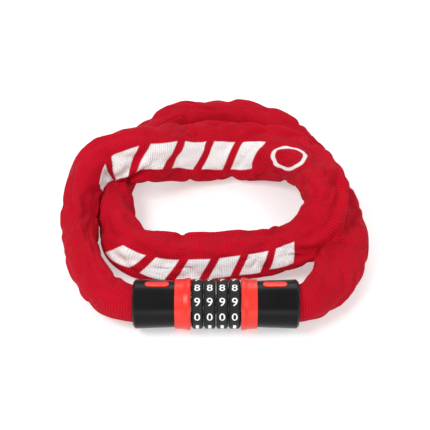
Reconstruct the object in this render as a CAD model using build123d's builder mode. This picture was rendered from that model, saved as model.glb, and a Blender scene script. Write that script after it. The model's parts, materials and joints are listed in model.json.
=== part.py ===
"""Four-dial combination chain lock: a barrel lock on a square-link chain in a fabric sleeve.

Millimetres. The origin is under the middle of the barrel, on the surface that it lies on.
+X runs along the barrel, +Y towards the back of the coiled chain, +Z up.
"""

from build123d import *
from math import cos, radians, sin, tan
import os

os.makedirs("parts", exist_ok=True)

# ---------------------------------------------------------------- driving dimensions

# barrel, measured along X from its middle
barrel_half_length = 59.0
cap_start = 29.3
collar_start = 17.9
axis_height = 18.8          # the collar lips rest on the surface
cap_bore_radius = 15.0
cap_outer_radius = 17.6     # at the chain end
cap_neck_radius = 16.6      # at the collar
cap_chamfer = 1.6
collar_lip_radius = 18.8
collar_waist_radius = 18.0
collar_bore_radius = 12.2

# number dials and the tumbler rings inside them
dial_count = 4
dial_pitch = 8.8
dial_width = 8.5
dial_radius = 17.7
dial_edge_radius = 15.9
dial_crest_width = 6.1
dial_bore_radius = 11.05
tumbler_radius = 11.0
tumbler_bore_radius = 7.1
tumbler_width = 5.2
tumbler_notch_width = 3.6
tumbler_notch_radius = 8.8
spline_count = 10
spline_radius = 0.8
spline_groove_radius = 0.95

# core tube, bolt and end bodies
tube_radius = 7.0
tube_bore_radius = 4.6
tube_slot_width = 3.2
tube_end = 19.8
tube_tail = 32.0
bolt_radius = 4.5
bolt_tip = 19.5
tooth_radius = 8.3
tooth_width = 2.4
tooth_length = 2.6
neck_face = 20.9
neck_radius = 12.0
body_radius = 14.2
body_end = 49.0
yoke_slot_start = 35.2
yoke_slot_height = 5.5
pin_clearance = 0.05
chain_pin_x = 46.0
chain_pin_radius = 2.5
chain_pin_half_length = 12.0
roll_pin_x = 26.0
roll_pin_radius = 1.25
roll_pin_half_length = 11.0
retainer_start = 17.7
retainer_width = 1.5
retainer_groove_radius = 6.3
retainer_outer_radius = 10.8

# grip inserts on the caps
grip_centre_x = 41.9
grip_length = 17.4
grip_width = 6.0
grip_lean = 14.0            # degrees behind straight up
grip_gap = 0.15
grip_dot_radius = 1.3
grip_dot_pitch = 3.6
grip_dot_count = 4

# chain links, bent from square bar
bar = 4.5
link_inner_length = 22.5
link_inner_width = 12.6
link_corner_radius = 3.5     # of the opening
link_edge_radius = 0.9
link_count = 52
side_run_links = 6
front_run_links = 3

# fabric sleeve
sleeve_radius = 14.0
sleeve_bore_radius = 12.6
sleeve_end_x = 52.0
ring_bore_radius = 13.0
ring_width = 3.0

# The chain lies in two turns: from the left cap round the outside left, over itself at the back left,
# along the back, down the inside right, along the front, up the inside left, under itself, round the
# outside back and right, and into the right cap.
chain_route = [
    (-43.4, 0, 18.8), (-64, 0, 18.8), (-81, 12, 15.5), (-94, 32, 14.4), (-103, 58, 14.4), (-107, 86, 17.5),
    (-106, 110, 28), (-97, 129, 40), (-77, 138, 46.5), (-52, 144, 43), (-28, 157, 28), (-3, 166, 17.5),
    (24, 165, 16.5), (48, 154, 23), (68, 131, 34), (79, 104, 43), (80, 78, 39.5), (70, 61, 28), (49, 53, 17),
    (22, 51, 14.4), (-9, 49, 14.4), (-39, 50, 14.4), (-64, 61, 14.4), (-78, 87, 14.4), (-81, 121, 14.4),
    (-74, 155, 14.4), (-57, 185, 14.4), (-29, 207, 14.4), (2, 217, 14.4), (33, 211, 14.4), (58, 191, 14.4),
    (76, 163, 14.4), (91, 132, 14.4), (101, 100, 14.4), (104, 68, 14.4), (98, 39, 14.4), (82, 14, 15.5),
    (64, 0, 18.8), (43.4, 0, 18.8),
]
crossing_corner = 24        # the sleeve is divided on the run after this corner, under the crossing
corner_share = 0.45         # part of the shorter run that each rounded corner takes

# ---------------------------------------------------------------- shared planes and helpers

barrel_plane = Plane(origin=(0, 0, axis_height), x_dir=(1, 0, 0), z_dir=(0, -1, 0))
barrel_axis = Axis((0, 0, axis_height), (1, 0, 0))


def across_plane(x):
    """Plane square to the barrel axis at x, facing +X, with its local y axis straight up."""
    return Plane(origin=(x, 0, axis_height), x_dir=(0, 1, 0), z_dir=(1, 0, 0))


def save(part, name):
    part.label = name
    export_step(part, f"parts/{name}.step")


def turn_angle(before, corner, after):
    """Degrees by which the route turns at a corner."""
    return (Vector(*corner) - Vector(*before)).get_angle(Vector(*after) - Vector(*corner))


def corner_radii(points):
    """Radius of every corner of a route, as large as its shorter run allows."""
    radii = []
    for before, corner, after in zip(points, points[1:], points[2:]):
        run_in = (Vector(*corner) - Vector(*before)).length
        run_out = (Vector(*after) - Vector(*corner)).length
        radii.append(corner_share * min(run_in, run_out) / tan(radians(turn_angle(before, corner, after)) / 2))
    return radii


route_radii = corner_radii(chain_route)
print("route radii", [round(radius) for radius in route_radii])

# ---------------------------------------------------------------- caps, collars and grip inserts

grip_plane = Plane(
    origin=(grip_centre_x, 0, axis_height),
    x_dir=(1, 0, 0),
    z_dir=(0, sin(radians(grip_lean)), cos(radians(grip_lean))),
)

with BuildPart() as right_cap:
    with BuildSketch(barrel_plane):
        with BuildLine():
            Polyline(
                (cap_start, cap_bore_radius),
                (cap_start, cap_neck_radius),
                (barrel_half_length - cap_chamfer, cap_outer_radius),
                (barrel_half_length, cap_outer_radius - cap_chamfer),
                (barrel_half_length, cap_bore_radius),
                close=True,
            )
        make_face()
    revolve(axis=barrel_axis)
    fillet(right_cap.edges().filter_by(GeomType.CIRCLE).sort_by(Axis.X)[-2:], 0.5)
    with BuildSketch(grip_plane.offset(cap_bore_radius / 2)):
        SlotOverall(grip_length, grip_width)
    extrude(amount=cap_outer_radius, mode=Mode.SUBTRACT)

with BuildPart() as left_cap:
    mirror(right_cap.part, about=Plane.YZ)

with BuildPart() as right_collar:
    with BuildSketch(barrel_plane):
        with BuildLine():
            Polyline(
                (collar_start, collar_bore_radius),
                (collar_start, collar_waist_radius),
                (collar_start + 0.8, collar_lip_radius),
                (collar_start + 2.2, collar_lip_radius),
                (collar_start + 5.0, collar_waist_radius),
                (cap_start, collar_waist_radius - 0.3),
                (cap_start, collar_bore_radius),
                close=True,
            )
        make_face()
    revolve(axis=barrel_axis)

with BuildPart() as left_collar:
    mirror(right_collar.part, about=Plane.YZ)

with BuildPart() as right_grip_insert:
    with BuildSketch(grip_plane.offset(cap_bore_radius / 2)):
        SlotOverall(grip_length - 2 * grip_gap, grip_width - 2 * grip_gap)
    extrude(amount=cap_outer_radius)
    with BuildSketch(barrel_plane):
        with Locations((grip_centre_x, (body_radius + cap_neck_radius) / 2 + 0.6)):
            Rectangle(grip_length, cap_neck_radius - body_radius + 1.0)
    revolve(axis=barrel_axis, mode=Mode.INTERSECT)
    with BuildSketch(grip_plane.offset(cap_neck_radius - 1.0)):
        with GridLocations(grip_dot_pitch, 1, grip_dot_count, 1):
            Circle(grip_dot_radius)
    extrude(amount=1.9)

with BuildPart() as left_grip_insert:
    mirror(right_grip_insert.part, about=Plane.YZ)

# ---------------------------------------------------------------- end bodies, pins and sleeve rings

with BuildPart() as right_end_body:
    with BuildSketch(barrel_plane):
        with BuildLine():
            Polyline(
                (neck_face, bolt_radius + pin_clearance),
                (neck_face, neck_radius),
                (cap_start, neck_radius),
                (cap_start, body_radius),
                (body_end, body_radius),
                (body_end, 0),
                (tube_tail + 0.2, 0),
                (tube_tail + 0.2, bolt_radius + pin_clearance),
                close=True,
            )
        make_face()
    revolve(axis=barrel_axis)
    with BuildSketch(barrel_plane):
        with Locations((yoke_slot_start, 0)):
            Rectangle(body_end, yoke_slot_height, align=(Align.MIN, Align.CENTER))
    extrude(amount=body_radius + 1, both=True, mode=Mode.SUBTRACT)
    with BuildSketch(Plane.XY.offset(axis_height)):
        with Locations((chain_pin_x, 0)):
            Circle(chain_pin_radius + pin_clearance)
    extrude(amount=chain_pin_half_length + 0.2, both=True, mode=Mode.SUBTRACT)
    with BuildSketch(barrel_plane):
        with Locations((roll_pin_x, 0)):
            Circle(roll_pin_radius + pin_clearance)
    extrude(amount=neck_radius + 1, both=True, mode=Mode.SUBTRACT)

with BuildPart() as left_end_body:
    mirror(right_end_body.part, about=Plane.YZ)
    with BuildSketch(across_plane(-tube_tail - 0.2)):
        Circle(tube_radius + pin_clearance)
    extrude(amount=tube_tail, mode=Mode.SUBTRACT)

with BuildPart() as right_chain_pin:
    with BuildSketch(Plane.XY.offset(axis_height)):
        with Locations((chain_pin_x, 0)):
            Circle(chain_pin_radius)
    extrude(amount=chain_pin_half_length, both=True)
    chamfer(right_chain_pin.edges().filter_by(GeomType.CIRCLE), 0.4)

with BuildPart() as left_chain_pin:
    mirror(right_chain_pin.part, about=Plane.YZ)

with BuildPart() as right_sleeve_ring:
    with BuildSketch(across_plane(sleeve_end_x - ring_width)):
        Circle(body_radius)
        Circle(ring_bore_radius, mode=Mode.SUBTRACT)
    extrude(amount=ring_width)

with BuildPart() as left_sleeve_ring:
    mirror(right_sleeve_ring.part, about=Plane.YZ)

# ---------------------------------------------------------------- core tube, bolt and what holds them

with BuildPart() as core_tube:
    with BuildSketch(across_plane(-tube_tail)):
        Circle(tube_radius)
        Circle(tube_bore_radius, mode=Mode.SUBTRACT)
    extrude(amount=tube_tail + tube_end)
    with BuildSketch(across_plane(-bolt_tip - 0.4)):
        with Locations((0, tube_radius / 2 + 1)):
            Rectangle(tube_slot_width, tube_radius + 2)
    extrude(amount=bolt_tip + tube_end + 1, mode=Mode.SUBTRACT)
    with BuildSketch(across_plane(retainer_start)):
        Circle(tube_radius + 1)
        Circle(retainer_groove_radius, mode=Mode.SUBTRACT)
    extrude(amount=retainer_width, mode=Mode.SUBTRACT)
    with BuildSketch(barrel_plane):
        with Locations((-roll_pin_x, 0)):
            Circle(roll_pin_radius + pin_clearance)
    extrude(amount=neck_radius, both=True, mode=Mode.SUBTRACT)

with BuildPart() as dial_retainer:
    with BuildSketch(across_plane(retainer_start + 0.1)):
        Circle(retainer_outer_radius)
        Circle(retainer_groove_radius + 0.1, mode=Mode.SUBTRACT)
        with Locations((0, retainer_outer_radius)):
            Rectangle(tumbler_notch_width, retainer_outer_radius, mode=Mode.SUBTRACT)
    extrude(amount=retainer_width - 0.2)

with BuildPart() as detent_spring:
    with BuildSketch(barrel_plane):
        with BuildLine():
            Polyline(
                (-neck_face + 0.1, tube_radius + 0.4),
                (-neck_face + 0.6, tube_radius + 0.4),
                (-collar_start + 0.1, tumbler_radius - 0.3),
                (-collar_start - 0.4, tumbler_radius - 0.3),
                close=True,
            )
        make_face()
    revolve(axis=barrel_axis)

with BuildPart() as locking_bolt:
    with BuildSketch(across_plane(-bolt_tip)):
        Circle(bolt_radius)
    extrude(amount=bolt_tip + tube_tail)
    chamfer(locking_bolt.edges().filter_by(GeomType.CIRCLE).sort_by(Axis.X)[0], 1.0)
    for index in range(dial_count):
        tooth_middle = (index - dial_count / 2) * dial_pitch
        with BuildSketch(across_plane(tooth_middle - tooth_length / 2)):
            with Locations((0, tooth_radius / 2)):
                Rectangle(tooth_width, tooth_radius)
        extrude(amount=tooth_length)
    with BuildSketch(barrel_plane):
        with Locations((roll_pin_x, 0)):
            Circle(roll_pin_radius + pin_clearance)
    extrude(amount=neck_radius, both=True, mode=Mode.SUBTRACT)

with BuildPart() as bolt_roll_pin:
    with BuildSketch(barrel_plane):
        with Locations((roll_pin_x, 0)):
            Circle(roll_pin_radius)
    extrude(amount=roll_pin_half_length, both=True)

with BuildPart() as tube_roll_pin:
    mirror(bolt_roll_pin.part, about=Plane.YZ)

fixed_parts = {
    "left_cap": left_cap,
    "right_cap": right_cap,
    "left_collar": left_collar,
    "right_collar": right_collar,
    "left_grip_insert": left_grip_insert,
    "right_grip_insert": right_grip_insert,
    "left_end_body": left_end_body,
    "right_end_body": right_end_body,
    "left_chain_pin": left_chain_pin,
    "right_chain_pin": right_chain_pin,
    "left_sleeve_ring": left_sleeve_ring,
    "right_sleeve_ring": right_sleeve_ring,
    "core_tube": core_tube,
    "dial_retainer": dial_retainer,
    "detent_spring": detent_spring,
    "locking_bolt": locking_bolt,
    "bolt_roll_pin": bolt_roll_pin,
    "tube_roll_pin": tube_roll_pin,
}
for name, builder in fixed_parts.items():
    save(builder.part, name)

# ---------------------------------------------------------------- dials and tumblers

for index in range(dial_count):
    middle = (index - (dial_count - 1) / 2) * dial_pitch

    with BuildPart() as dial:
        with BuildSketch(barrel_plane):
            with BuildLine():
                Polyline(
                    (middle - dial_width / 2, dial_bore_radius),
                    (middle - dial_width / 2, dial_edge_radius),
                    (middle - dial_crest_width / 2, dial_radius),
                    (middle + dial_crest_width / 2, dial_radius),
                    (middle + dial_width / 2, dial_edge_radius),
                    (middle + dial_width / 2, dial_bore_radius),
                    close=True,
                )
            make_face()
        revolve(axis=barrel_axis)
        with BuildSketch(across_plane(middle - dial_width / 2)):
            with PolarLocations(dial_bore_radius, spline_count):
                Circle(spline_groove_radius)
        extrude(amount=dial_width, mode=Mode.SUBTRACT)
    save(dial.part, f"dial_{index + 1}")

    with BuildPart() as tumbler:
        with BuildSketch(across_plane(middle - tumbler_width / 2)):
            Circle(tumbler_radius)
            with PolarLocations(tumbler_radius, spline_count):
                Circle(spline_radius)
            Circle(tumbler_bore_radius, mode=Mode.SUBTRACT)
            with Locations((0, tumbler_notch_radius / 2)):
                Rectangle(tumbler_notch_width, tumbler_notch_radius, mode=Mode.SUBTRACT)
        extrude(amount=tumbler_width)
    save(tumbler.part, f"tumbler_{index + 1}")

# ---------------------------------------------------------------- chain

with BuildLine(mode=Mode.PRIVATE) as chain_path:
    FilletPolyline(*chain_route, radius=route_radii)

with BuildPart() as chain_link:
    with BuildSketch(Plane.XY.offset(-bar / 2)):
        RectangleRounded(link_inner_length + 2 * bar, link_inner_width + 2 * bar, link_corner_radius + bar)
        RectangleRounded(link_inner_length, link_inner_width, link_corner_radius, mode=Mode.SUBTRACT)
    extrude(amount=bar)
    fillet(chain_link.edges(), link_edge_radius)


def link_roll(index):
    """Roll of a link in degrees: each is square to the next, and the end links lie flat for their pins."""
    easing = [0, 10, 20, 30, 40]
    from_end = link_count - 1 - index
    if index < len(easing):
        return 90 * (index % 2) - easing[index]
    if from_end < len(easing):
        return 90 * (index % 2) - 90 + easing[from_end]
    return 90 * (index % 2) - 45


def link_plane(index):
    """Plane of a link: x along the link, z square to its flat side."""
    start = chain_path.wires()[0].position_at(index / link_count)
    end = chain_path.wires()[0].position_at((index + 1) / link_count)
    along = (end - start).normalized()
    level = Vector(0, 0, 1).cross(along).normalized()
    upright = along.cross(level)
    roll = radians(link_roll(index))
    return Plane(origin=(start + end) / 2, x_dir=along, z_dir=upright * cos(roll) + level * sin(roll))


link_planes = [link_plane(index) for index in range(link_count)]
front_run_start = link_count - front_run_links
side_run_start = front_run_start - side_run_links

with BuildPart() as chain_long_run:
    with Locations(*link_planes[:side_run_start]):
        add(chain_link.part)

with BuildPart() as chain_side_run:
    with Locations(*link_planes[side_run_start:front_run_start]):
        add(chain_link.part)

with BuildPart() as chain_front_run:
    with Locations(*link_planes[front_run_start:]):
        add(chain_link.part)

save(chain_long_run.part, "chain_long_run")
save(chain_side_run.part, "chain_side_run")
save(chain_front_run.part, "chain_front_run")
for first_link in (side_run_start, front_run_start):
    joint = chain_path.wires()[0].position_at(first_link / link_count)
    print("chain joint before link", first_link, "at", [round(value, 2) for value in tuple(joint)])

# ---------------------------------------------------------------- fabric sleeve

under_crossing = (Vector(*chain_route[crossing_corner]) + Vector(*chain_route[crossing_corner + 1])) / 2
main_route = [(-sleeve_end_x, 0, axis_height)] + chain_route[1:crossing_corner + 1] + [tuple(under_crossing)]
tail_route = [tuple(under_crossing)] + chain_route[crossing_corner + 1:-1] + [(sleeve_end_x, 0, axis_height)]

with BuildPart() as fabric_sleeve:
    with BuildLine() as main_path:
        FilletPolyline(*main_route, radius=route_radii[:crossing_corner])
    with BuildSketch(Plane(origin=main_path.line @ 0, z_dir=main_path.line % 0)):
        Circle(sleeve_radius)
        Circle(sleeve_bore_radius, mode=Mode.SUBTRACT)
    sweep(path=main_path.line)

with BuildPart() as fabric_sleeve_tail:
    with BuildLine() as tail_path:
        FilletPolyline(*tail_route, radius=route_radii[crossing_corner:])
    with BuildSketch(Plane(origin=tail_path.line @ 0, z_dir=tail_path.line % 0)):
        Circle(sleeve_radius)
        Circle(sleeve_bore_radius, mode=Mode.SUBTRACT)
    sweep(path=tail_path.line)

save(fabric_sleeve.part, "fabric_sleeve")
save(fabric_sleeve_tail.part, "fabric_sleeve_tail")

ring_area = 3.14159 * (sleeve_radius ** 2 - sleeve_bore_radius ** 2)
for name, builder, path in (
    ("sleeve", fabric_sleeve, main_path),
    ("sleeve tail", fabric_sleeve_tail, tail_path),
):
    length = path.wires()[0].length
    print(name, "length", round(length), "volume", round(builder.part.volume), end=" ")
    print("section times length", round(ring_area * length))
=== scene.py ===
"""Looks of the chain lock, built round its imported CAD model. Metres, in the row frame."""

import bmesh
import bpy
import json
import math
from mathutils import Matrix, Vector, noise


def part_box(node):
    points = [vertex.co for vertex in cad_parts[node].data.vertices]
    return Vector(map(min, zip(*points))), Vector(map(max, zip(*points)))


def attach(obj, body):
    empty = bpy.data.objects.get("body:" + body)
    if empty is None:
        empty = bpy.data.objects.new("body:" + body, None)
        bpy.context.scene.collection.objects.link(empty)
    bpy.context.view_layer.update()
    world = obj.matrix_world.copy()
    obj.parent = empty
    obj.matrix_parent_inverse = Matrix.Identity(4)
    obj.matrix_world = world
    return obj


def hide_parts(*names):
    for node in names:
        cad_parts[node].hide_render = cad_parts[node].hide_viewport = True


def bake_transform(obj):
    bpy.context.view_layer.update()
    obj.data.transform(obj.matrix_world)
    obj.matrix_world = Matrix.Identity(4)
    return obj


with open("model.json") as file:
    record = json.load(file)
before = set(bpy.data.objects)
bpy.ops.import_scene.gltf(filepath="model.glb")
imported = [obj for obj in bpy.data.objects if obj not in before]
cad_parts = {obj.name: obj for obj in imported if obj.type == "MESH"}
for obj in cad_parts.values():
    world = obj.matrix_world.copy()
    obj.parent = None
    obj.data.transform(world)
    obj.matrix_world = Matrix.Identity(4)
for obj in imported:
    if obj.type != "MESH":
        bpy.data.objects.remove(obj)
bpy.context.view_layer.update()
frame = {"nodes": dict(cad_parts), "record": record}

MM = 0.001
axis_height = 0.0188

# ---------------------------------------------------------------- camera and light

camera_height_angle = math.radians(45)
camera_data = bpy.data.cameras.new("camera")
camera_data.lens = 89.96
camera_data.sensor_width = 36
camera = bpy.data.objects.new("camera", camera_data)
camera.location = (-0.0007, -0.4994, 0.6083)
camera.rotation_euler = (camera_height_angle, 0, 0)
bpy.context.collection.objects.link(camera)
bpy.context.scene.camera = camera


def area_light(name, location, target, size, power):
    """A round lamp at a place, turned to its target."""
    data = bpy.data.lights.new(name, "AREA")
    data.shape = "DISK"
    data.size = size
    data.energy = power
    light = bpy.data.objects.new(name, data)
    light.location = location
    light.rotation_euler = (Vector(target) - Vector(location)).to_track_quat("-Z", "Y").to_euler()
    bpy.context.collection.objects.link(light)


coil_middle = (0, 0.1, 0.01)
area_light("key_light", (-0.55, -0.25, 0.85), coil_middle, 0.5, 7)
area_light("fill_light", (0.75, -0.45, 0.65), coil_middle, 0.7, 3)
area_light("back_light", (0.15, 0.9, 0.75), coil_middle, 0.7, 4)
area_light("front_strip", (0.0, -0.75, 0.12), (0, 0, 0.02), 0.35, 0.8)

world = bpy.data.worlds.new("studio")
world.use_nodes = True
world.node_tree.nodes["Background"].inputs["Color"].default_value = (1, 1, 1, 1)
world.node_tree.nodes["Background"].inputs["Strength"].default_value = 0.55
bpy.context.scene.world = world
bpy.context.scene.view_settings.view_transform = "Standard"

# ---------------------------------------------------------------- node helpers for materials


class Shader:
    """A material with its Principled node and short ways to add and join nodes."""

    def __init__(self, name):
        self.material = bpy.data.materials.new(name)
        self.material.use_nodes = True
        self.tree = self.material.node_tree
        self.shader = self.tree.nodes["Principled BSDF"]

    def set(self, **values):
        for name, value in values.items():
            self.shader.inputs[name.replace("_", " ")].default_value = value

    def add(self, kind, **values):
        node = self.tree.nodes.new(kind)
        for name, value in values.items():
            setattr(node, name, value)
        return node

    def join(self, source, target):
        self.tree.links.new(source, target)

    def math(self, operation, first, second=None, third=None):
        node = self.add("ShaderNodeMath", operation=operation)
        for socket, value in zip(node.inputs, (first, second, third)):
            if value is None:
                continue
            if isinstance(value, (int, float)):
                socket.default_value = value
            else:
                self.join(value, socket)
        return node.outputs[0]

    def noise(self, vector, scale, detail=2.0, roughness=0.5):
        node = self.add("ShaderNodeTexNoise")
        node.inputs["Scale"].default_value = scale
        node.inputs["Detail"].default_value = detail
        node.inputs["Roughness"].default_value = roughness
        self.join(vector, node.inputs["Vector"])
        return node.outputs["Fac"]

    def spread(self, value, low, high, to_low, to_high):
        node = self.add("ShaderNodeMapRange")
        for name, number in (("From Min", low), ("From Max", high), ("To Min", to_low), ("To Max", to_high)):
            node.inputs[name].default_value = number
        self.join(value, node.inputs["Value"])
        return node.outputs["Result"]

    def mix(self, factor, first, second):
        node = self.add("ShaderNodeMix", data_type="RGBA")
        for socket, value in ((node.inputs[0], factor), (node.inputs[6], first), (node.inputs[7], second)):
            if isinstance(value, (int, float, tuple)):
                socket.default_value = value
            else:
                self.join(value, socket)
        return node.outputs[2]

    def bump(self, height, distance):
        node = self.add("ShaderNodeBump")
        node.inputs["Distance"].default_value = distance
        self.join(height, node.inputs["Height"])
        self.join(node.outputs["Normal"], self.shader.inputs["Normal"])

    def place(self):
        return self.add("ShaderNodeTexCoord").outputs["Object"]


def moulded_plastic(name, dark, light, roughness, grain, grain_scale, gloss=0.3):
    """Moulded plastic with a fine grain, faint mottling and slight polish from handling."""
    look = Shader(name)
    place = look.place()
    mottle = look.noise(place, 60, 3)
    fine = look.noise(place, grain_scale, 2)
    look.join(look.mix(mottle, dark, light), look.shader.inputs["Base Color"])
    polish = look.spread(mottle, 0.3, 0.7, roughness - 0.05, roughness + 0.07)
    look.join(polish, look.shader.inputs["Roughness"])
    look.set(Specular_IOR_Level=gloss)
    look.bump(fine, grain)
    return look.material


def metal(name, dark, light, roughness, streak):
    """Metal with fine streaks, drawn out by the streak's scale along X, Y and Z."""
    look = Shader(name)
    place = look.place()
    stretch = look.add("ShaderNodeMapping")
    stretch.inputs["Scale"].default_value = streak
    look.join(place, stretch.inputs["Vector"])
    lines = look.noise(stretch.outputs["Vector"], 900, 3)
    look.join(look.mix(lines, dark, light), look.shader.inputs["Base Color"])
    streaks = look.spread(lines, 0.2, 0.8, roughness - 0.08, roughness + 0.1)
    look.join(streaks, look.shader.inputs["Roughness"])
    look.set(Metallic=1.0)
    look.bump(lines, 0.00004)
    return look.material


# ---------------------------------------------------------------- the sleeve's route

# The CAD route's points, with its two ends moved out to the sleeve rings in the caps.
sleeve_route = [
    (-0.052, 0, 0.0188), (-0.064, 0, 0.0188), (-0.081, 0.012, 0.0155), (-0.094, 0.032, 0.0144),
    (-0.103, 0.058, 0.0144), (-0.107, 0.086, 0.0175), (-0.106, 0.110, 0.028), (-0.097, 0.129, 0.040),
    (-0.077, 0.138, 0.0465), (-0.052, 0.144, 0.043), (-0.028, 0.157, 0.028), (-0.003, 0.166, 0.0175),
    (0.024, 0.165, 0.0165), (0.048, 0.154, 0.023), (0.068, 0.131, 0.034), (0.079, 0.104, 0.043),
    (0.080, 0.078, 0.0395), (0.070, 0.061, 0.028), (0.049, 0.053, 0.017), (0.022, 0.051, 0.0144),
    (-0.009, 0.049, 0.0144), (-0.039, 0.050, 0.0144), (-0.064, 0.061, 0.0144), (-0.078, 0.087, 0.0144),
    (-0.081, 0.121, 0.0144), (-0.074, 0.155, 0.0144), (-0.057, 0.185, 0.0144), (-0.029, 0.207, 0.0144),
    (0.002, 0.217, 0.0144), (0.033, 0.211, 0.0144), (0.058, 0.191, 0.0144), (0.076, 0.163, 0.0144),
    (0.091, 0.132, 0.0144), (0.101, 0.100, 0.0144), (0.104, 0.068, 0.0144), (0.098, 0.039, 0.0144),
    (0.082, 0.014, 0.0155), (0.064, 0, 0.0188), (0.052, 0, 0.0188),
]
# Half width and half thickness in millimetres, the tilt of the wide way in degrees, and how far the
# cloth's middle sits off the chain along the wide way, at each point.
# The tilt is 0 or 180 where the sleeve lies flat and 90 where it stands on its edge.
sleeve_shape = [
    (13.4, 13.4, 60, 0), (13.4, 13.0, 60, 0), (14.5, 12.1, 66, 2), (15.5, 12.1, 74, 3.2),
    (16.0, 12.1, 82, 3.2), (16.4, 12.1, 86, 2), (18.5, 12.1, 97, -3.5), (21.0, 12.1, 114, -7),
    (22.5, 12.1, 128, -7.8), (24.5, 12.1, 138, -6.2), (25.0, 12.1, 140, -2.2), (25.5, 12.1, 140, 1.2),
    (25.5, 12.1, 141, 2.8), (23.5, 12.1, 143, 4.4), (20.5, 12.1, 146, 5.2), (18.5, 12.1, 152, 4.4),
    (18.0, 12.1, 165, 4.2), (18.5, 12.1, 184, 3), (19.5, 12.1, 198, -1.2), (19.5, 12.1, 206, -1.4),
    (20.0, 12.1, 208, 0.2), (20.0, 12.1, 207, 2.4), (18.5, 12.1, 204, 3.4), (16.0, 12.1, 195, 1),
    (15.4, 12.1, 185, 0), (15.4, 12.1, 175, 0), (16.5, 12.1, 160, -0.5), (17.0, 12.1, 148, 3.6),
    (17.0, 12.1, 142, -2.0), (17.0, 12.1, 140, -0.5), (17.5, 12.9, 136, 0), (17.0, 13.8, 122, 0),
    (17.0, 13.8, 96, 0), (19.0, 13.5, 56, 4), (21.5, 12.7, 22, 8.2), (20.0, 12.1, 20, 6.5),
    (16.0, 12.1, 48, 2), (13.6, 12.9, 60, 0), (13.4, 13.4, 60, 0),
]
station_pitch = 0.0026      # about how far apart the rings of cloth points lie
ring_points = 40
split_after_point = 24      # the tail starts half way along the run after this point, under the crossing
floor_gap = 0.0004


def route_line(points):
    """Points along the smooth line that the route points steer."""
    data = bpy.data.curves.new("route", "CURVE")
    data.dimensions = "3D"
    spline = data.splines.new("NURBS")
    spline.points.add(len(points) - 1)
    for point, place in zip(spline.points, points):
        point.co = (*place, 1)
    spline.order_u = 3
    spline.use_endpoint_u = True
    spline.resolution_u = 16
    curve = bpy.data.objects.new("route", data)
    bpy.context.collection.objects.link(curve)
    bpy.context.view_layer.update()
    mesh = bpy.data.meshes.new_from_object(curve.evaluated_get(bpy.context.evaluated_depsgraph_get()))
    line = [vertex.co.copy() for vertex in mesh.vertices]
    bpy.data.objects.remove(curve)
    bpy.data.meshes.remove(mesh)
    return line


def resample(line, pitch):
    """The line's points again, evenly spaced, with its length."""
    reach = [0.0]
    for first, second in zip(line, line[1:]):
        reach.append(reach[-1] + (second - first).length)
    count = round(reach[-1] / pitch)
    even = []
    index = 0
    for step in range(count + 1):
        target = reach[-1] * step / count
        while index < len(line) - 2 and reach[index + 1] < target:
            index += 1
        share = (target - reach[index]) / max(reach[index + 1] - reach[index], 1e-9)
        even.append(line[index].lerp(line[index + 1], min(max(share, 0), 1)))
    return even, reach[-1]


def nearest_station(line, place):
    return min(range(len(line)), key=lambda index: (line[index] - Vector(place)).length)


def eased(share):
    return share * share * (3 - 2 * share)


centreline, sleeve_length = resample(route_line(sleeve_route), station_pitch)
station_count = len(centreline)
station_step = sleeve_length / (station_count - 1)
point_stations = [nearest_station(centreline, place) for place in sleeve_route]
split_station = (point_stations[split_after_point] + point_stations[split_after_point + 1]) // 2


def station_shape(station):
    """Half width, half thickness, tilt and sideways slide of the sleeve at a station."""
    after = next(index for index, value in enumerate(point_stations) if value >= station)
    before = max(after - 1, 0)
    span = point_stations[after] - point_stations[before]
    share = eased((station - point_stations[before]) / span) if span else 0.0
    values = [low + (high - low) * share for low, high in zip(sleeve_shape[before], sleeve_shape[after])]
    return values[0] * MM, values[1] * MM, math.radians(values[2]), values[3] * MM


def ring_outline(half_width, half_thickness):
    """Points of an ellipse at equal distances along it."""
    fine = 360
    corners = [
        (half_width * math.cos(math.tau * i / fine), half_thickness * math.sin(math.tau * i / fine))
        for i in range(fine + 1)
    ]
    reach = [0.0]
    for first, second in zip(corners, corners[1:]):
        reach.append(reach[-1] + math.dist(first, second))
    outline = []
    index = 0
    for step in range(ring_points):
        target = reach[-1] * step / ring_points
        while reach[index + 1] < target:
            index += 1
        share = (target - reach[index]) / (reach[index + 1] - reach[index])
        outline.append(tuple(a + (b - a) * share for a, b in zip(corners[index], corners[index + 1])))
    return outline


def tangent(station):
    """The way the route runs at a station."""
    before = centreline[max(station - 1, 0)]
    after = centreline[min(station + 1, station_count - 1)]
    return (after - before).normalized()


def curvature(station):
    """How sharply the route turns at a station, in radians to the metre."""
    reach = 6
    low = min(max(station, reach), station_count - 1 - reach)
    turn = tangent(low - reach).angle(tangent(low + reach))
    return turn / (2 * reach * station_step)


def way_across(station):
    """The way to the coil's inside and the way up, both square to the route."""
    forward = tangent(station)
    side = forward.cross(Vector((0, 0, 1))).normalized()
    return side, side.cross(forward)


def floor_lifts():
    """How far each ring is raised so that it clears the floor, without steps from ring to ring."""
    lifts = []
    for station in range(station_count):
        half_width, half_thickness, tilt, slide = station_shape(station)
        below = math.hypot(half_width * math.sin(tilt), half_thickness * math.cos(tilt))
        reach_down = below - slide * math.sin(tilt)
        lifts.append(max(0.0, reach_down + floor_gap - centreline[station].z))
    reach = 8
    smooth = []
    for station in range(station_count):
        window = lifts[max(0, station - reach):station + reach + 1]
        smooth.append(max(sum(window) / len(window), lifts[station]))
    return smooth


smooth_lifts = floor_lifts()


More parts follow.
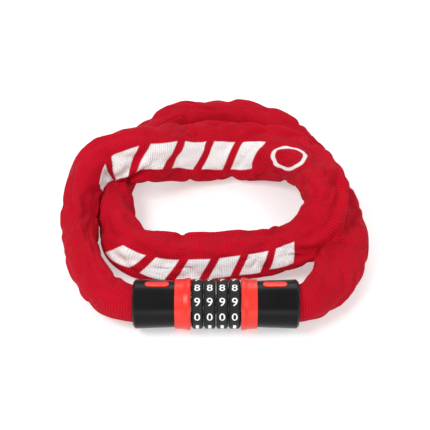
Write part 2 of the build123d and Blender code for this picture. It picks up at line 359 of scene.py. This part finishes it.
def sleeve_rings():
    """Start positions and relaxed positions of every ring of the sleeve."""
    placed = []
    relaxed = []
    along = 0.0
    slack = 1.2                 # spare length in the bends, as a share of what the outside of the bend needs
    looseness = 1.03            # spare length and girth everywhere
    for station in range(station_count):
        half_width, half_thickness, tilt, slide = station_shape(station)
        outline = ring_outline(half_width, half_thickness)
        side, upright = way_across(station)
        centre = centreline[station] + Vector((0, 0, smooth_lifts[station]))
        wide = side * math.cos(tilt) + upright * math.sin(tilt)
        thin = upright * math.cos(tilt) - side * math.sin(tilt)
        centre += wide * slide
        placed.append([centre + wide * across + thin * over for across, over in outline])
        relaxed.append([Vector((along, across * looseness, over * looseness)) for across, over in outline])
        along += station_step * looseness * (1 + slack * curvature(station) * half_width)
    return placed, relaxed


placed_rings, relaxed_rings = sleeve_rings()


def tube_mesh(name, rings):
    """Open tube through the rings. Its UV map is metres along the sleeve and the share of the way round."""
    mesh = bpy.data.meshes.new(name)
    corners = [tuple(point) for ring in rings for point in ring]
    faces = []
    for station in range(len(rings) - 1):
        for i in range(ring_points):
            j = (i + 1) % ring_points
            low = station * ring_points
            faces.append((low + i, low + ring_points + i, low + ring_points + j, low + j))
    mesh.from_pydata(corners, [], faces)
    mesh.update()
    layer = mesh.uv_layers.new(name="sleeve_map")
    for polygon in mesh.polygons:
        station, i = divmod(polygon.index, ring_points)
        spots = ((station, i), (station + 1, i), (station + 1, i + 1), (station, i + 1))
        for loop, (row, column) in zip(polygon.loop_indices, spots):
            layer.data[loop].uv = (row * station_step, column / ring_points)
    return mesh


def show(name, mesh):
    piece = bpy.data.objects.new(name, mesh)
    bpy.context.collection.objects.link(piece)
    for polygon in mesh.polygons:
        polygon.use_smooth = True
    return piece


def collider(name, mesh, friction):
    """A shape that the cloth rests against while it is simulated."""
    piece = show(name, mesh)
    piece.modifiers.new("collision", "COLLISION")
    piece.collision.thickness_outer = 0.0012
    piece.collision.thickness_inner = 0.003
    piece.collision.cloth_friction = friction
    return piece


def chain_proxy():
    """A plain tube as thick as the chain, which the cloth can't sink into."""
    proxy_radius = 0.0109
    rings = []
    for station in range(station_count):
        side, upright = way_across(station)
        rings.append([
            centreline[station]
            + side * proxy_radius * math.cos(math.tau * i / ring_points)
            + upright * proxy_radius * math.sin(math.tau * i / ring_points)
            for i in range(ring_points)
        ])
    return tube_mesh("chain_proxy", rings)


def plane_mesh(name, size):
    """A level square at the floor's height, reaching size from the origin each way."""
    mesh = bpy.data.meshes.new(name)
    corners = [(-size, -size, 0), (size, -size, 0), (size, size, 0), (-size, size, 0)]
    mesh.from_pydata(corners, [], [(0, 1, 2, 3)])
    return mesh


def drape(piece, frames):
    """Cloth simulation: the tube is cut to its relaxed length, so it buckles inside the bends.

    The cloth is held in the caps and partly to its start position, so it keeps the shape it is given.
    """
    piece.shape_key_add(name="placed")
    key = piece.shape_key_add(name="relaxed")
    for index, point in enumerate(point for ring in relaxed_rings for point in ring):
        key.data[index].co = point
    key.value = 0.0
    held = piece.vertex_groups.new(name="held")
    soft_hold = 0.02
    edge_hold = 0.3             # along the band's two edges, which keep it wide
    far_edge = ring_points // 2
    edge_columns = {0, 1, ring_points - 1, far_edge - 1, far_edge, far_edge + 1}
    firm_rings = 4
    fade_rings = 5
    for station in range(station_count):
        from_end = min(station, station_count - 1 - station)
        fade = min(max((from_end - firm_rings) / fade_rings, 0), 1)
        for column in range(ring_points):
            slackest = edge_hold if column in edge_columns else soft_hold
            held.add([station * ring_points + column], 1 - fade * (1 - slackest), "REPLACE")
    cloth = piece.modifiers.new("cloth", "CLOTH")
    settings = cloth.settings
    settings.rest_shape_key = key
    settings.vertex_group_mass = "held"
    settings.pin_stiffness = 0.8
    settings.quality = 6
    settings.time_scale = 0.6
    settings.mass = 0.12
    settings.air_damping = 4
    settings.tension_stiffness = 12
    settings.compression_stiffness = 12
    settings.shear_stiffness = 4
    settings.bending_stiffness = 0.1
    settings.tension_damping = 8
    settings.compression_damping = 8
    settings.shear_damping = 8
    settings.bending_damping = 0.5
    settings.effector_weights.gravity = 0.35
    cloth.collision_settings.distance_min = 0.001
    cloth.collision_settings.collision_quality = 2
    cloth.collision_settings.use_self_collision = True
    cloth.collision_settings.self_distance_min = 0.001
    cloth.collision_settings.self_friction = 5
    cloth.point_cache.frame_start = 1
    cloth.point_cache.frame_end = frames
    scene = bpy.context.scene
    for number in range(1, frames + 1):
        scene.frame_set(number)
    evaluated = piece.evaluated_get(bpy.context.evaluated_depsgraph_get())
    settled = [vertex.co.copy() for vertex in evaluated.data.vertices]
    piece.modifiers.remove(cloth)
    piece.shape_key_clear()
    for vertex, place in zip(piece.data.vertices, settled):
        vertex.co = place
    scene.frame_set(1)


def sleeve_surface():
    tube = show("sleeve_cloth", tube_mesh("sleeve_cloth", placed_rings))
    proxy = collider("chain_proxy", chain_proxy(), 5)
    ground = collider("floor_proxy", plane_mesh("floor_proxy", 0.3), 20)
    drape(tube, 20)
    bpy.data.objects.remove(proxy)
    bpy.data.objects.remove(ground)
    points = [vertex.co.copy() for vertex in tube.data.vertices]
    bpy.data.objects.remove(tube)
    return [points[station * ring_points:(station + 1) * ring_points] for station in range(station_count)]


girth = 0.1                 # a round figure for the cloth's girth, for creases and print
fold_size = (0.024, 0.013)  # how far apart the creases lie along the sleeve and round it
fold_height = 0.0062
fold_wander = 0.9           # how far the pattern shifts along the sleeve from side to side, in fold sizes
puff = 0.25                 # the cloth between creases swells by this share of the fold height
plain_length = 0.009        # no creases this close to the sleeve's ends
fade_length = 0.02
chain_room = 0.0123         # the cloth stays at least this far from the chain's middle line


def crease(station, column):
    """From 0 between creases to 1 at the bottom of one, wandering along the sleeve and round it."""
    girth_angle = math.tau * column / ring_points
    girth_radius = girth / math.tau / fold_size[1]
    place = Vector((
        station * station_step / fold_size[0] + fold_wander * math.sin(girth_angle),
        girth_radius * math.cos(girth_angle),
        girth_radius * math.sin(girth_angle),
    ))
    return max(0.0, 1 - abs(noise.noise(place)) * 3.6) ** 1.5


def crumpled(rings):
    """The rings with creases pressed in, deepest in the bends, none in the caps, and clear of the chain."""
    result = []
    for station, ring in enumerate(rings):
        from_end = min(station, station_count - 1 - station) * station_step
        strength = eased(min(max((from_end - plain_length) / fade_length, 0), 1))
        strength *= min(0.25 + 0.034 * curvature(station), 1.0)
        before = rings[max(station - 1, 0)]
        after = rings[min(station + 1, station_count - 1)]
        new_ring = []
        for column, point in enumerate(ring):
            round_way = ring[(column + 1) % ring_points] - ring[column - 1]
            long_way = after[column] - before[column]
            outward = round_way.cross(long_way).normalized()
            if outward.dot(point - sum(ring, Vector()) / ring_points) < 0:
                outward = -outward
            place = point + outward * fold_height * strength * (puff - crease(station, column))
            off_chain = place - centreline[station]
            off_chain -= tangent(station) * off_chain.dot(tangent(station))
            if off_chain.length < chain_room:
                place += off_chain.normalized() * (chain_room - off_chain.length)
            place.z = max(place.z, floor_gap)
            new_ring.append(place)
        result.append(new_ring)
    return result


draped_rings = crumpled(sleeve_surface())


def sleeve_piece(name, first, last):
    """A stretch of the draped sleeve, smoothed by one subdivision, as a piece of its own."""
    mesh = tube_mesh(name, draped_rings[first:last + 1])
    for loop in mesh.uv_layers["sleeve_map"].data:
        loop.uv.x += first * station_step
    piece = show(name, mesh)
    divide = piece.modifiers.new("divide", "SUBSURF")
    divide.levels = 1
    divide.render_levels = 1
    evaluated = piece.evaluated_get(bpy.context.evaluated_depsgraph_get())
    finished = bpy.data.meshes.new_from_object(evaluated)
    piece.modifiers.remove(divide)
    piece.data = finished
    return piece


# ---------------------------------------------------------------- fabric


def station_reach(place):
    """Distance along the sleeve of the station nearest to a place."""
    return nearest_station(centreline, place) * station_step


def red_fabric():
    """Ribbed crimson cloth with white printed bars and an oval, on the sleeve's own map."""
    look = Shader("red_fabric")
    mapping = look.add("ShaderNodeUVMap", uv_map="sleeve_map")
    split = look.add("ShaderNodeSeparateXYZ")
    look.join(mapping.outputs["UV"], split.inputs["Vector"])
    along = split.outputs["X"]
    share = split.outputs["Y"]
    around = look.math("MULTIPLY", share, girth)
    flat = look.add("ShaderNodeCombineXYZ")
    look.join(along, flat.inputs["X"])
    look.join(around, flat.inputs["Y"])
    place = flat.outputs["Vector"]

    rib_pitch = 0.0016
    thread_pitch = 0.0011
    wobble = look.noise(place, 300, 2)
    rib_phase = look.math("ADD", look.math("MULTIPLY", along, math.tau / rib_pitch), wobble)
    ribs = look.spread(look.math("SINE", rib_phase), -1, 1, 0, 1)
    thread_phase = look.math("ADD", look.math("MULTIPLY", around, math.tau / thread_pitch), wobble)
    threads = look.spread(look.math("SINE", thread_phase), -1, 1, 0, 1)
    fibre = look.noise(place, 2600, 3, 0.6)
    weave = look.math("MULTIPLY_ADD", threads, 0.45, look.math("MULTIPLY_ADD", fibre, 0.5, ribs))

    def band(value, low, high, soft):
        """1 between low and high, with soft edges."""
        rise = look.spread(value, low - soft, low + soft, 0, 1)
        fall = look.spread(value, high - soft, high + soft, 1, 0)
        return look.math("MULTIPLY", rise, fall)

    def bars(start, count, middle, height, pitch, duty, slant):
        """A row of slanted bars from a distance along the sleeve."""
        rise = look.math("SUBTRACT", share, middle)
        leaning = look.math("MULTIPLY_ADD", rise, slant, look.math("SUBTRACT", along, start))
        place_in_bar = look.math("FRACT", look.math("DIVIDE", leaning, pitch))
        stripe = band(place_in_bar, 0.06, duty, 0.02)
        rows = band(rise, -height / 2, height / 2, 0.004)
        stretch = band(leaning, 0, count * pitch, 0.0004)
        return look.math("MULTIPLY", stripe, look.math("MULTIPLY", rows, stretch))

    front = bars(station_reach((0.058, 0.056, 0.021)), 6, 0.87, 0.15, 0.0222, 0.76, -0.055)
    back = bars(station_reach((-0.106, 0.110, 0.028)), 6, 0.71, 0.19, 0.0303, 0.78, -0.055)
    oval_squeeze = 0.55
    oval_place = station_reach((0.066, 0.133, 0.033))
    oval_along = look.math("MULTIPLY", look.math("SUBTRACT", along, oval_place), oval_squeeze)
    oval_across = look.math("MULTIPLY", look.math("SUBTRACT", share, 0.72), girth)
    oval_squared = look.math("ADD", look.math("POWER", oval_along, 2.0), look.math("POWER", oval_across, 2.0))
    ring = band(look.math("SQRT", oval_squared), 0.0088, 0.0112, 0.0003)
    ink = look.math("MAXIMUM", look.math("MAXIMUM", front, back), ring)
    worn = look.spread(look.noise(place, 900, 4, 0.7), 0.33, 0.46, 0.7, 1.0)
    ink = look.math("MULTIPLY", ink, worn)

    shade = look.noise(place, 45, 3)
    deep = (0.21, 0.0012, 0.006, 1)
    bright = (0.57, 0.0032, 0.018, 1)
    cloth = look.mix(look.spread(weave, 0.2, 1.7, 0.25, 1), deep, bright)
    cloth = look.mix(look.spread(shade, 0.3, 0.75, 0, 0.35), cloth, (0.64, 0.006, 0.026, 1))
    white = look.mix(look.spread(weave, 0.2, 1.7, 0, 1), (0.78, 0.74, 0.74, 1), (0.95, 0.94, 0.94, 1))
    look.join(look.mix(ink, cloth, white), look.shader.inputs["Base Color"])
    look.join(look.spread(ink, 0, 1, 0.82, 0.55), look.shader.inputs["Roughness"])
    look.set(Sheen_Weight=0.03, Sheen_Roughness=0.4, Specular_IOR_Level=0.08)
    look.shader.inputs["Sheen Tint"].default_value = (1.0, 0.45, 0.5, 1)

    # Shallow creases in the cloth, in patches: ridged noise on the unrolled tube, which closes on itself.
    turn = look.math("MULTIPLY", share, math.tau)
    unrolled = look.add("ShaderNodeCombineXYZ")
    look.join(look.math("MULTIPLY", along, 0.55), unrolled.inputs["X"])
    look.join(look.math("MULTIPLY", look.math("COSINE", turn), girth / math.tau), unrolled.inputs["Y"])
    look.join(look.math("MULTIPLY", look.math("SINE", turn), girth / math.tau), unrolled.inputs["Z"])
    spot = unrolled.outputs["Vector"]
    ridged = look.math("ABSOLUTE", look.math("SUBTRACT", look.noise(spot, 75, 1), 0.5))
    patch = look.spread(look.noise(spot, 28, 1), 0.42, 0.60, 0.1, 1)
    groove = look.math("MULTIPLY", look.spread(ridged, 0, 0.075, 1, 0), patch)
    height = look.math("MULTIPLY_ADD", groove, -1.1, look.math("MULTIPLY", weave, 0.35))
    look.bump(height, 0.001)
    return look.material


fabric = red_fabric()
sleeve_main = sleeve_piece("sleeve_cover", 0, split_station)
sleeve_tail = sleeve_piece("sleeve_cover_tail", split_station, station_count - 1)
for piece, node in ((sleeve_main, "fabric_sleeve"), (sleeve_tail, "fabric_sleeve_tail")):
    piece.data.materials.append(fabric)
    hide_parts(node)
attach(sleeve_main, "lock_body")
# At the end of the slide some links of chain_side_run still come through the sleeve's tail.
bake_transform(sleeve_tail)

# ---------------------------------------------------------------- digits on the dials

digit_height = 0.0059
digit_width = 0.0041
digit_stroke = 0.006        # thickening of the font's outline, in font units
digit_rise = 0.00012
first_digit_angle = 54      # degrees above the horizontal at which the 9 stands
digit_step = 36


def digit_outline(text):
    """A flat mesh of one digit, cut into strips so that it can follow the dial's curve."""
    data = bpy.data.curves.new("digit", "FONT")
    data.body = text
    data.align_x = "CENTER"
    data.offset = digit_stroke
    data.resolution_u = 6
    source = bpy.data.objects.new("digit", data)
    bpy.context.collection.objects.link(source)
    bpy.context.view_layer.update()
    mesh = bpy.data.meshes.new_from_object(source.evaluated_get(bpy.context.evaluated_depsgraph_get()))
    bpy.data.objects.remove(source)
    outline = bmesh.new()
    outline.from_mesh(mesh)
    bpy.data.meshes.remove(mesh)
    low = min(vertex.co.y for vertex in outline.verts)
    high = max(vertex.co.y for vertex in outline.verts)
    left = min(vertex.co.x for vertex in outline.verts)
    right = max(vertex.co.x for vertex in outline.verts)
    narrow = 0.55 if text == "1" else 1.0
    for vertex in outline.verts:
        vertex.co.x = ((vertex.co.x - left) / (right - left) - 0.5) * digit_width * narrow
        vertex.co.y = ((vertex.co.y - low) / (high - low) - 0.5) * digit_height
    strips = 12
    for strip in range(1, strips):
        height = (strip / strips - 0.5) * digit_height
        geometry = outline.verts[:] + outline.edges[:] + outline.faces[:]
        bmesh.ops.bisect_plane(outline, geom=geometry, plane_co=(0, height, 0), plane_no=(0, 1, 0))
    return outline


def dial_digits(name, dial_middle, dial_radius):
    """The ten digits round one dial, joined into one mesh."""
    digits = bmesh.new()
    for digit in range(10):
        outline = digit_outline(str(digit))
        middle_angle = math.radians(first_digit_angle + digit_step * (9 - digit))
        raised = bmesh.ops.extrude_face_region(outline, geom=outline.faces[:])
        top = {item for item in raised["geom"] if isinstance(item, bmesh.types.BMVert)}
        for vertex in outline.verts:
            radius = dial_radius + (digit_rise if vertex in top else -digit_rise)
            angle = middle_angle + vertex.co.y / dial_radius
            across = dial_middle + vertex.co.x
            vertex.co = (across, -radius * math.cos(angle), axis_height + radius * math.sin(angle))
        mesh = bpy.data.meshes.new("digit")
        outline.to_mesh(mesh)
        outline.free()
        digits.from_mesh(mesh)
        bpy.data.meshes.remove(mesh)
    bmesh.ops.recalc_face_normals(digits, faces=digits.faces[:])
    mesh = bpy.data.meshes.new(name)
    digits.to_mesh(mesh)
    digits.free()
    piece = bpy.data.objects.new(name, mesh)
    bpy.context.collection.objects.link(piece)
    return piece


print_look = moulded_plastic("digit_print", (0.78, 0.78, 0.78, 1), (0.95, 0.95, 0.95, 1),
                             0.45, 0.00001, 3000)
for number in range(1, 5):
    low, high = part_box(f"dial_{number}")
    radius = (high[2] - low[2]) / 2
    digits = dial_digits(f"dial_{number}_digits", (low[0] + high[0]) / 2, radius)
    digits.data.materials.append(print_look)
    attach(digits, f"dial_{number}_body")

# ---------------------------------------------------------------- finishes of the CAD pieces

finishes = {
    "black_plastic": moulded_plastic("black_plastic", (0.004, 0.004, 0.0045, 1), (0.009, 0.009, 0.010, 1),
                                     0.24, 0.00002, 2500, 0.11),
    "red_plastic": moulded_plastic("red_plastic", (0.68, 0.024, 0.016, 1), (0.76, 0.036, 0.023, 1),
                                   0.30, 0.00002, 2500),
    "dial_plastic": moulded_plastic("dial_plastic", (0.007, 0.007, 0.008, 1), (0.03, 0.03, 0.032, 1),
                                    0.42, 0.00025, 1300, 0.12),
    "zinc_casting": metal("zinc_casting", (0.35, 0.36, 0.38, 1), (0.5, 0.51, 0.53, 1), 0.5, (1, 1, 1)),
    "bright_steel": metal("bright_steel", (0.5, 0.5, 0.52, 1), (0.72, 0.72, 0.74, 1), 0.26, (0.15, 1, 1)),
    "brass_tumbler": metal("brass_tumbler", (0.62, 0.42, 0.15, 1), (0.85, 0.65, 0.3, 1), 0.28, (1, 0.2, 0.2)),
    "chain_steel": metal("chain_steel", (0.3, 0.3, 0.32, 1), (0.5, 0.5, 0.53, 1), 0.34, (1, 1, 1)),
}
for entry in frame["record"]["subparts"]:
    finish = finishes.get(entry["material_slot"])
    if finish is None:
        continue
    for material_slot in frame["nodes"][entry["node"]].material_slots:
        material_slot.material = finish

# ---------------------------------------------------------------- floor

floor_mesh = plane_mesh("floor", 3.0)
floor = bpy.data.objects.new("floor", floor_mesh)
bpy.context.collection.objects.link(floor)
floor_look = Shader("floor")
floor_look.join(
    floor_look.mix(floor_look.noise(floor_look.place(), 8), (0.60, 0.60, 0.60, 1), (0.63, 0.63, 0.63, 1)),
    floor_look.shader.inputs["Base Color"],
)
floor_look.set(Roughness=0.6, Emission_Strength=0.45)
floor_look.shader.inputs["Emission Color"].default_value = (1, 1, 1, 1)
floor.data.materials.append(floor_look.material)
